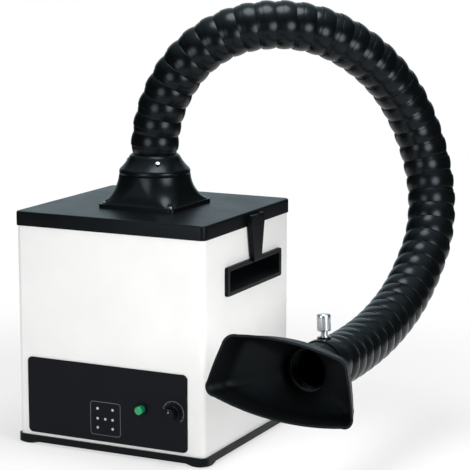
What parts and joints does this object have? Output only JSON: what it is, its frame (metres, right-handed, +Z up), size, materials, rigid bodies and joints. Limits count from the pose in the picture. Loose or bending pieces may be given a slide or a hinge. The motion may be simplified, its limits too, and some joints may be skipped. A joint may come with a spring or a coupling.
{
  "type": "fume extractor",
  "caption": "Portable fume extractor: a white filter cabinet with a black lid, a control panel, and a bendable ring-jointed suction arm with a wide hood.",
  "frame": {"origin": "on the floor, under the middle of the cabinet", "axes": "+X right along the front, +Y to the back, +Z up"},
  "size_m": [0.683, 0.6563, 0.7196],
  "materials": {
    "white_cabinet": "satin",
    "black_base": "satin",
    "black_lid": "satin",
    "black_arm": "gloss",
    "black_hood": "satin",
    "black_trim": "satin",
    "fascia_slate": "matte",
    "rubber": "matte",
    "foam": "matte",
    "green_cap": "gloss",
    "clear_lens": "gloss",
    "white_mark": "matte",
    "steel": "satin",
    "polished_steel": "polished",
    "plated_brass": "polished",
    "aluminium": "satin",
    "grey_plastic": "matte",
    "board_green": "satin",
    "filter_card": "matte",
    "filter_paper": "matte",
    "carbon": "matte",
    "fleece": "matte"
  },
  "bodies": {
    "cabinet": {"base_tray": "black_base", "foot_pads": "rubber", "cabinet_shell": "white_cabinet", "rear_panel": "white_cabinet", "rear_panel_screws": "steel", "power_inlet": "black_trim", "inlet_pins": "plated_brass", "inlet_screws": "steel", "grip_cup_right": "black_trim", "grip_cup_left": "black_trim", "fascia": "fascia_slate", "indicator_lenses": "clear_lens", "button_bezel": "black_trim", "switch_body": "black_trim", "potentiometer": "aluminium", "control_board": "board_green", "board_spacers": "grey_plastic", "power_supply": "aluminium", "fan_deck": "aluminium", "inlet_ring": "aluminium", "fan_motor": "aluminium", "motor_bracket": "aluminium", "scroll_housing": "grey_plastic", "filter_seal": "foam", "filter_frame": "filter_card", "carbon_bed": "carbon", "filter_pleats": "filter_paper", "prefilter_mat": "fleece"},
    "lid": {"lid": "black_lid", "lid_gasket": "foam", "arm_boot": "black_lid", "flange_screws": "steel", "arm_collar": "black_lid", "collar_screws": "steel", "latch_pins": "steel"},
    "latch_right": {"latch_strap_right": "black_trim"},
    "latch_left": {"latch_strap_left": "black_trim"},
    "nozzle": {"nozzle_neck": "black_arm", "clamp_cuff": "black_arm", "lock_bush": "plated_brass"},
    "lock_screw": {"lock_knob": "polished_steel"},
    "hood": {"nozzle_hood": "black_hood", "hood_spigot": "black_hood"},
    "push_button": {"push_button": "green_cap"},
    "speed_knob": {"speed_knob": "black_trim", "knob_pointer": "white_mark", "knob_spindle": "steel"},
    "impeller": {"impeller": "grey_plastic", "motor_shaft": "steel"},
    "arm_base_ring": {"arm_base_ring": "black_arm"},
    "arm_section_1": {"arm_section_1": "black_arm"},
    "arm_section_2": {"arm_section_2": "black_arm"},
    "arm_section_3": {"arm_section_3": "black_arm"},
    "arm_section_4": {"arm_section_4": "black_arm"},
    "arm_section_5": {"arm_section_5": "black_arm"},
    "arm_section_6": {"arm_section_6": "black_arm"},
    "arm_section_7": {"arm_section_7": "black_arm"},
    "arm_section_8": {"arm_section_8": "black_arm"},
    "arm_section_9": {"arm_section_9": "black_arm"}
  },
  "joints": [
    {"name": "lid_lift", "type": "slide", "parent": "cabinet", "child": "lid", "axis": [0, 0, 1], "range_m": [0, 0.06]},
    {"name": "latch_right_swing", "type": "hinge", "parent": "lid", "child": "latch_right", "pos_m": [0.1768, 0.015, 0.376], "axis": [0, -1, 0], "range_deg": [0, 95]},
    {"name": "latch_left_swing", "type": "hinge", "parent": "lid", "child": "latch_left", "pos_m": [-0.1768, 0.015, 0.376], "axis": [0, 1, 0], "range_deg": [0, 95]},
    {"name": "arm_swivel", "type": "hinge", "parent": "lid", "child": "arm_base_ring", "pos_m": [0, 0, 0.4835], "axis": [0, 0, 1], "continuous": true},
    {"name": "arm_section_1_bend", "type": "hinge", "parent": "arm_base_ring", "child": "arm_section_1", "pos_m": [0.00353, 0.00088, 0.51227], "axis": [-0.2268, 0.9739, -0.002], "range_deg": [-17.3, 2.7]},
    {"name": "arm_section_2_bend", "type": "hinge", "parent": "arm_section_1", "child": "arm_section_2", "pos_m": [0.05154, 0.01227, 0.61596], "axis": [-0.4592, 0.8694, 0.1825], "range_deg": [-19.2, 0.8]},
    {"name": "arm_section_3_bend", "type": "hinge", "parent": "arm_section_2", "child": "arm_section_3", "pos_m": [0.16807, 0.06045, 0.67964], "axis": [-0.4557, 0.772, 0.4432], "range_deg": [-18, 2]},
    {"name": "arm_section_4_sway", "type": "hinge", "parent": "arm_section_3", "child": "arm_section_4", "pos_m": [0.27898, 0.14383, 0.64844], "axis": [0.5467, 0.0476, 0.836], "range_deg": [-8.5, 8.5]},
    {"name": "arm_section_5_bend", "type": "hinge", "parent": "arm_section_4", "child": "arm_section_5", "pos_m": [0.34415, 0.22897, 0.55276], "axis": [-0.9496, 0.1921, -0.2478], "range_deg": [-17.4, 2.6]},
    {"name": "arm_section_6_bend", "type": "hinge", "parent": "arm_section_5", "child": "arm_section_6", "pos_m": [0.38456, 0.2558, 0.4187], "axis": [-0.9381, 0.2413, -0.2483], "range_deg": [-18.9, 1.1]},
    {"name": "arm_section_7_bend", "type": "hinge", "parent": "arm_section_6", "child": "arm_section_7", "pos_m": [0.39894, 0.18596, 0.29645], "axis": [-0.9987, 0.0387, -0.0344], "range_deg": [-14.9, 5.1]},
    {"name": "arm_section_8_sway", "type": "hinge", "parent": "arm_section_7", "child": "arm_section_8", "pos_m": [0.39644, 0.05987, 0.22707], "axis": [-0.0246, 0.3266, -0.9449], "range_deg": [-9.3, 9.3]},
    {"name": "arm_section_9_bend", "type": "hinge", "parent": "arm_section_8", "child": "arm_section_9", "pos_m": [0.39391, -0.05363, 0.20428], "axis": [-0.9562, -0.0158, 0.2924], "range_deg": [-12.2, 7.8]},
    {"name": "nozzle_tilt", "type": "hinge", "parent": "arm_section_9", "child": "nozzle", "pos_m": [0.39485, -0.16948, 0.20111], "axis": [-0.6915, -0.0366, -0.7214], "range_deg": [-14.3, 5.7]},
    {"name": "hood_turn", "type": "hinge", "parent": "nozzle", "child": "hood", "pos_m": [0.3932, -0.22528, 0.20553], "axis": [-0.0295, -0.9965, 0.0788], "continuous": true},
    {"name": "lock_screw_turn", "type": "hinge", "parent": "nozzle", "child": "lock_screw", "pos_m": [0.39072, -0.20157, 0.24426], "axis": [-0.0761, 0.0809, 0.9938], "range_deg": [0, 360]},
    {"name": "button_press", "type": "slide", "parent": "cabinet", "child": "push_button", "axis": [0, 1, 0], "range_m": [0, 0.003], "stiffness_N_per_m": 500},
    {"name": "speed_knob_turn", "type": "hinge", "parent": "cabinet", "child": "speed_knob", "pos_m": [0.116, -0.1588, 0.084], "axis": [0, -1, 0], "range_deg": [-135, 135]},
    {"name": "impeller_spin", "type": "hinge", "parent": "cabinet", "child": "impeller", "pos_m": [0, 0, 0.096], "axis": [0, 0, 1], "continuous": true}
  ]
}
